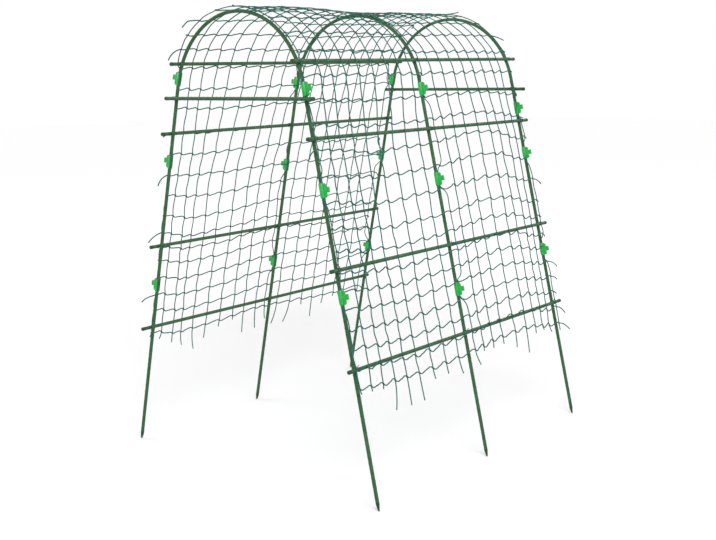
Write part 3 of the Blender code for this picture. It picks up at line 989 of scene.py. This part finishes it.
def clip_distance(hoop, height):
    """The free place for a clip nearest to this height, found as in the solids."""
    wanted = hoop_distance(height, 0.0)
    past_tube = CLIP_LENGTH / 2 + TUBE_RADIUS + GAP
    past_strand = (CLIP_EAR_LENGTH + SOLID_NET_TWINE) / 2 + GAP
    blocked = [(crossing, past_tube) for crossing in hoop_crossings(hoop)]
    top = RAIL_DISTANCES["top"]
    low = hoop_distance(ARCH_HEIGHT - SOLID_NET_DROP, NET_OFFSET)
    for row in range(SOLID_NET_SIDE_CELLS + 1):
        strand = top + (low - top) * row / SOLID_NET_SIDE_CELLS
        blocked.append((strand - CLIP_EAR_RISE, past_strand))
    choices = [wanted] + [taken + way * reach for taken, reach in blocked for way in (-1, 1)]
    free = [
        choice
        for choice in choices
        if all(abs(choice - taken) > reach - GAP / 2 for taken, reach in blocked)
    ]
    return min(free, key=lambda choice: abs(choice - wanted))


def clip_places():
    for hoop in HOOP_Y:
        for side in SIDES:
            for number, drop in enumerate(CLIP_DROPS[f"{hoop}_{side}"], start=1):
                yield hoop, side, number, clip_distance(hoop, ARCH_HEIGHT - drop)


def clip_seat(distance):
    """Where a clip's middle lies, and how far its leg leans there."""
    low = hoop_frame(distance - CLIP_LENGTH / 2)[0]
    high = hoop_frame(distance + CLIP_LENGTH / 2)[0]
    along = high - low
    return (low + high + 2 * hoop_frame(distance)[0]) / 4, math.atan2(-along.x, along.z)


def add_clips(look):
    mesh = clip_mesh()
    for hoop, side, number, distance in clip_places():
        sign = SIDES[side]
        centre, lean = clip_seat(distance)
        node = f"{hoop}_{side}_clip_{number}"
        place = (sign * centre.x, HOOP_Y[hoop], centre.z)
        turn = (0, -lean, 0 if sign > 0 else math.pi)
        piece(node + "_moulding", mesh, look, [node], place, turn)


# Wire ties where tubes cross


def wire_loop(shape, inner, outward, first, second, turn):
    """A loop of wire round two crossed tubes, in the plane of one diagonal."""
    diagonal = (first + turn * second).normalized()
    wide = TUBE_RADIUS * math.sqrt(2) + WIRE_RADIUS
    tall = TUBE_RADIUS + WIRE_RADIUS
    points = []
    for step in range(WIRE_STEPS):
        angle = 2 * math.pi * step / WIRE_STEPS
        rise = RAIL_OFFSET if math.sin(angle) >= 0 else 0.0
        up = rise + tall * math.sin(angle)
        points.append(inner + wide * math.cos(angle) * diagonal + up * outward)
    shape.strand(points, WIRE_RADIUS, closed=True)


def wire_tail(shape, inner, outward, first, second):
    """The two twisted ends of the wire, bent down beside the crossing."""
    diagonal = (first + second).normalized()
    start = inner + (TUBE_RADIUS * math.sqrt(2) + WIRE_RADIUS) * diagonal + RAIL_OFFSET / 2 * outward
    lean = either_way(WIRE_TAIL_LEAN)
    length = chance.uniform(*WIRE_TAIL_LENGTHS)
    reach = (diagonal + lean * outward - WIRE_TAIL_FALL * first).normalized()
    beside = reach.cross(outward).normalized()
    above = beside.cross(reach)
    for first_turn in (0.0, math.pi):
        points = []
        for part in stepped(WIRE_TAIL_STEPS):
            turn = first_turn + WIRE_TAIL_TWIST * part
            swing = WIRE_RADIUS * (math.cos(turn) * beside + math.sin(turn) * above)
            points.append(start + part * length * reach + swing)
        shape.strand(points, WIRE_RADIUS)


def add_wire(shape, inner, outward, first, second):
    for turn in (-1, 1):
        wire_loop(shape, inner, outward, first, second, turn)
    wire_tail(shape, inner, outward, first, second)


def add_wires(look):
    for hoop, y in HOOP_Y.items():
        for side, sign in SIDES.items():
            shape = Shape()
            for distance in RAIL_DISTANCES.values():
                centre, outward, onward = side_frame(distance, sign)
                add_wire(shape, centre + y * ALONG_TUNNEL, outward, onward, ALONG_TUNNEL)
            if hoop != "middle":
                centre, _, onward = side_frame(TIE_DISTANCE, sign)
                way = Vector((0, math.copysign(1, y), 0))
                add_wire(shape, centre + y * ALONG_TUNNEL, way, onward, onward.cross(way))
            name = f"{hoop}_{side}_wire_ties"
            piece(name, shape_mesh(shape, name), look)


# Net


def net_rows():
    """Distance of each lengthwise strand along the hoops, from the right edge to the left."""
    right = [between(NET_RIGHT_ROWS, row, soft=False) for row in range(NET_SIDE_ROWS)]
    left = [between(NET_LEFT_ROWS, row, soft=False) for row in range(NET_SIDE_ROWS)]
    gap = (NET_BEND_ROWS_LEFT[0] - right[-1]) / (NET_BEND_ROWS_RIGHT + 1)
    bend_right = [right[-1] + gap * (row + 1) for row in range(NET_BEND_ROWS_RIGHT)]
    far_left = [HOOP_LENGTH - distance for distance in reversed(left)]
    return right + bend_right + list(NET_BEND_ROWS_LEFT) + far_left


def row_bow(distance, y):
    """How much further along the hoop a lengthwise strand lies here than at its own distance."""
    if distance < CROWN_DISTANCE:
        return between(NET_RIGHT_BOW, y) * between(NET_RIGHT_BOW_SHARE, distance)
    return -between(NET_LEFT_BOW, y) * between(NET_LEFT_BOW_SHARE, HOOP_LENGTH - distance)


def column_shift(distance, y):
    """How far along the tunnel a strand down the sides lies here from its place at the crown."""
    if distance < CROWN_DISTANCE:
        return between(NET_RIGHT_SHIFT, y) * between(NET_RIGHT_SHIFT_SHARE, distance)
    return between(NET_LEFT_SHIFT, y) * between(NET_LEFT_SHIFT_SHARE, HOOP_LENGTH - distance)


def net_offset(distance, y):
    """The rails hold the net off the legs. Above the top rails it settles towards the hoops."""
    held = NET_OFFSET + NET_LIFT
    above = from_nearer_foot(distance) - RAIL_DISTANCES["top"]
    part = min(1.0, max(0.0, above / NET_SETTLE_LENGTH))
    return held + (between(NET_STAND_OFF, y) - held) * softened(part)


# Distance and place along the tunnel of every clip, which holds the net against its leg
HOLDS = [
    (distance if side == "right" else HOOP_LENGTH - distance, HOOP_Y[hoop])
    for hoop, side, _, distance in clip_places()
]


def clip_hold(distance, y):
    """How firmly a clip holds the net here, its place along the tunnel, and how far past it this is."""
    for hold_distance, hold_y in HOLDS:
        past = abs(distance - hold_distance) - CLIP_LENGTH / 2
        beyond = abs(y - hold_y) - BESIDE_HALF_WIDTH
        away = math.hypot(max(0.0, past) / HOLD_REACH_UP, max(0.0, beyond) / HOLD_REACH_ALONG)
        if away < 1:
            below = from_nearer_foot(distance)
            to_rail = min(abs(below - rail_distance) for rail_distance in RAIL_DISTANCES.values())
            loose = min(1.0, max(0.0, (to_rail - RAIL_HOLD_START) / RAIL_HOLD_FADE))
            return loose * (1 - away) ** HOLD_FADE_POWER, hold_y, past
    return 0.0, y, 0.0


def net_point(distance, y, lift):
    """A place on the net. Near a clip it dips and gathers, to pass under the clip."""
    hold, hold_y, past = clip_hold(distance, y)
    offset = net_offset(distance, y) + lift
    if hold > 0:
        along = (y - hold_y) * (1 - HELD_GATHER * hold)
        y = hold_y + along
        offset += (between(HELD_OFFSETS, abs(along)) - offset) * hold
        clear = math.sqrt(max(0.0, HELD_CLEAR**2 - along**2))
        if clear > 0:
            pressed = HELD_OFFSETS[0][1]
            open_share = min(1.0, max(0.0, past / HOLD_MOUTH + 0.5))
            offset = max(offset, pressed + (clear - pressed) * open_share)
    centre, outward, _ = hoop_frame(distance)
    return centre + y * ALONG_TUNNEL + offset * outward


def upward(distance):
    """+1 where a greater distance is higher up, and -1 past the crown."""
    return 1 if distance < CROWN_DISTANCE else -1


def net_knots(rows):
    """(distance, y, lift) of every knot. The strands wander a little from cell to cell."""
    knots = []
    wander = [0.0] * len(NET_COLUMNS_Y)
    for distance in rows:
        tilt = either_way(ROW_TILT)
        line = []
        for column, y in enumerate(NET_COLUMNS_Y):
            wander[column] = COLUMN_WANDER_KEPT * wander[column] + either_way(COLUMN_WANDER)
            across = y + between(NET_DRIFT, distance) + column_shift(distance, y) + wander[column]
            if column == 0:
                across += between(NET_EDGE_DRIFT, distance)
            along = distance + row_bow(distance, across) + tilt * y + either_way(KNOT_JITTER)
            line.append((along, across, chance.uniform(*KNOT_LIFTS)))
        knots.append(line)
    return knots


def lengthwise_strand(line):
    """A strand along the tunnel, which dips after each knot and rises before the next."""
    points = []
    past_crown = line[0][0] - CROWN_DISTANCE
    growth = NET_WAVE_GROWTH["left" if past_crown > 0 else "right"]
    slack = NET_WAVE + growth * abs(past_crown)
    for first, second in zip(line, line[1:]):
        swell = slack * chance.uniform(*NET_WAVE_SHARES)
        belly = chance.uniform(*ROW_BELLIES)
        bulge = chance.uniform(*ROW_BULGES)
        for part in stepped(ROW_STEPS)[:-1]:
            turn = 2 * math.pi * part
            distance, y, lift = blended(first, second, part)
            wave = swell * (math.sin(turn) + NET_WAVE_SKEW * math.sin(2 * turn))
            rise = belly * math.sin(turn / 2) - wave
            lift += bulge * math.sin(turn / 2)
            points.append(net_point(distance + upward(distance) * rise, y, lift))
    points.append(net_point(*line[-1]))
    return points


def strand_across(line):
    """A strand over the arch, bowed a little towards the front in each cell."""
    points = []
    for first, second in zip(line, line[1:]):
        sway = chance.uniform(*COLUMN_SWAYS)
        snake = chance.uniform(*COLUMN_SNAKES)
        for part in stepped(COLUMN_STEPS)[:-1]:
            distance, y, lift = blended(first, second, part)
            y += sway * math.sin(math.pi * part) + snake * math.sin(2 * math.pi * part)
            points.append(net_point(distance, y, lift))
    points.append(net_point(*line[-1]))
    return points


def row_tail(knot, way, length):
    """The cut end of a lengthwise strand beyond the net's last knot, drooping as it goes."""
    distance, y, lift = knot
    droop = chance.uniform(*ROW_TAIL_DROOPS)
    outwards = chance.uniform(*ROW_TAIL_LIFTS)
    stride = length / ROW_TAIL_STEPS
    points = []
    for part in stepped(ROW_TAIL_STEPS)[1:]:
        fall = droop * part
        y += way * stride * math.cos(fall)
        y = max(-NET_REACH_Y, min(NET_REACH_Y, y))
        distance -= upward(distance) * stride * math.sin(fall)
        lift += outwards * stride * part
        points.append(net_point(distance, y, lift))
    return points


def column_tail(knot):
    """The cut end of a strand below the net's lowest knot."""
    distance, y, lift = knot
    stride = chance.choice(COLUMN_TAIL_LENGTHS) / COLUMN_TAIL_STEPS
    curl = either_way(COLUMN_TAIL_CURL)
    points = []
    for part in stepped(COLUMN_TAIL_STEPS)[1:]:
        y += curl * stride * part
        distance -= upward(distance) * stride
        lift += COLUMN_TAIL_LIFT * stride * part
        points.append(net_point(distance, y, lift))
    return points


def add_lengthwise_strands(shape, rows, knots):
    for distance, line in zip(rows, knots):
        length = LONG_TAIL_LENGTH if distance == LONG_TAIL_ROW else chance.choice(ROW_TAIL_LENGTHS)
        if clip_hold(*line[0][:2])[0] > FIRM_HOLD:
            length = HELD_TAIL_LENGTH
        front = row_tail(line[0], -1, length)
        back = row_tail(line[-1], 1, chance.choice(ROW_TAIL_LENGTHS))
        shape.strand(front[::-1] + lengthwise_strand(line) + back, ROW_TWINE_RADIUS)


def add_strands_across(shape, knots):
    for line in zip(*knots):
        points = column_tail(line[0])[::-1] + strand_across(line) + column_tail(line[-1])
        shape.strand(points, COLUMN_TWINE_RADIUS)


def add_knots(shape, knots):
    for line in knots:
        for distance, y, lift in line:
            _, outward, onward = hoop_frame(distance)
            radii = [KNOT_RADIUS * chance.uniform(*KNOT_SIZES) for _ in range(3)]
            shape.ball(net_point(distance, y, lift), radii, (onward, ALONG_TUNNEL, outward))


def add_net(look):
    rows = net_rows()
    knots = net_knots(rows)
    shape = Shape()
    add_lengthwise_strands(shape, rows, knots)
    add_strands_across(shape, knots)
    add_knots(shape, knots)
    piece("net_of_twine", shape_mesh(shape, "net_of_twine"), look, ["climbing_net"])


# Floor, background and light


def background_rays(tree):
    """1 for the rays that show the background: camera, glossy and transmission rays."""
    rays = new_node(tree, "ShaderNodeLightPath")
    seen = rays.outputs["Is Camera Ray"]
    for kind in ("Is Glossy Ray", "Is Transmission Ray"):
        either = new_node(tree, "ShaderNodeMath", operation="MAXIMUM")
        tree.links.new(seen, either.inputs[0])
        tree.links.new(rays.outputs[kind], either.inputs[1])
        seen = either.outputs[0]
    return seen


def pale_floor():
    """A pale floor that glows more away from the arch, where the lamps reach it less."""
    look = Look("pale_floor")
    look.set("Base Color", FLOOR_COLOUR)
    look.set("Roughness", 0.9)
    look.set("Specular IOR Level", 0.1)
    away = new_node(look.tree, "ShaderNodeVectorMath", operation="LENGTH")
    look.link(look.place, away.inputs[0])
    inputs = [
        ("From Min", FLOOR_NEAR),
        ("From Max", FLOOR_FAR),
        ("To Min", FLOOR_GLOW_NEAR),
        ("To Max", FLOOR_GLOW_FAR),
    ]
    fading = new_node(look.tree, "ShaderNodeMapRange", inputs)
    look.link(away.outputs["Value"], fading.inputs["Value"])
    level = new_node(look.tree, "ShaderNodeMath", operation="MULTIPLY")
    look.link(background_rays(look.tree), level.inputs[0])
    look.link(fading.outputs["Result"], level.inputs[1])
    glow = new_node(look.tree, "ShaderNodeEmission", [("Color", WHITE)])
    look.link(level.outputs[0], glow.inputs["Strength"])
    both = new_node(look.tree, "ShaderNodeAddShader")
    look.link(look.shader.outputs[0], both.inputs[0])
    look.link(glow.outputs[0], both.inputs[1])
    look.link(both.outputs[0], look.tree.nodes["Material Output"].inputs["Surface"])
    return look.made


def add_floor():
    half = FLOOR_HALF_WIDTH
    mesh = bpy.data.meshes.new("floor")
    corners = [(-half, -half, 0), (half, -half, 0), (half, half, 0), (-half, half, 0)]
    mesh.from_pydata(corners, [], [(0, 1, 2, 3)])
    mesh.materials.append(pale_floor())
    floor = bpy.data.objects.new("floor", mesh)
    floor.location.z = -FLOOR_DROP
    bpy.context.scene.collection.objects.link(floor)


def add_world():
    """Even studio light from all round, over a background that the camera sees as white."""
    world = bpy.data.worlds.new("studio")
    bpy.context.scene.world = world
    world.use_nodes = True
    tree = world.node_tree
    background = tree.nodes["Background"]
    background.inputs["Color"].default_value = WHITE
    level = new_node(tree, "ShaderNodeMapRange", [("To Min", STUDIO_LIGHT), ("To Max", 1.0)])
    tree.links.new(background_rays(tree), level.inputs["Value"])
    tree.links.new(level.outputs["Result"], background.inputs["Strength"])


def add_softboxes():
    for name, (place, (width, height), power) in SOFTBOXES.items():
        data = bpy.data.lights.new(name, "AREA")
        data.shape = "RECTANGLE"
        data.size = width
        data.size_y = height
        data.energy = power
        lamp = bpy.data.objects.new(name, data)
        lamp.location = place
        lamp.rotation_euler = (LAMPS_AIM - Vector(place)).to_track_quat("-Z", "Y").to_euler()
        lamp.visible_camera = False
        bpy.context.scene.collection.objects.link(lamp)


def main():
    bpy.context.scene.view_settings.view_transform = "Standard"
    add_camera()
    steel_look = coated_steel()
    plug_look = plug_plastic()
    for hoop in HOOP_Y:
        add_arc(hoop, steel_look)
        for side in SIDES:
            add_leg_tubes(hoop, side, steel_look)
            add_foot(hoop, side, plug_look)
    add_rails(steel_look, plug_look)
    add_cross_ties(steel_look, plug_look)
    add_clips(clip_plastic())
    add_wires(wire_plastic())
    add_net(net_twine())
    add_floor()
    add_world()
    add_softboxes()


main()
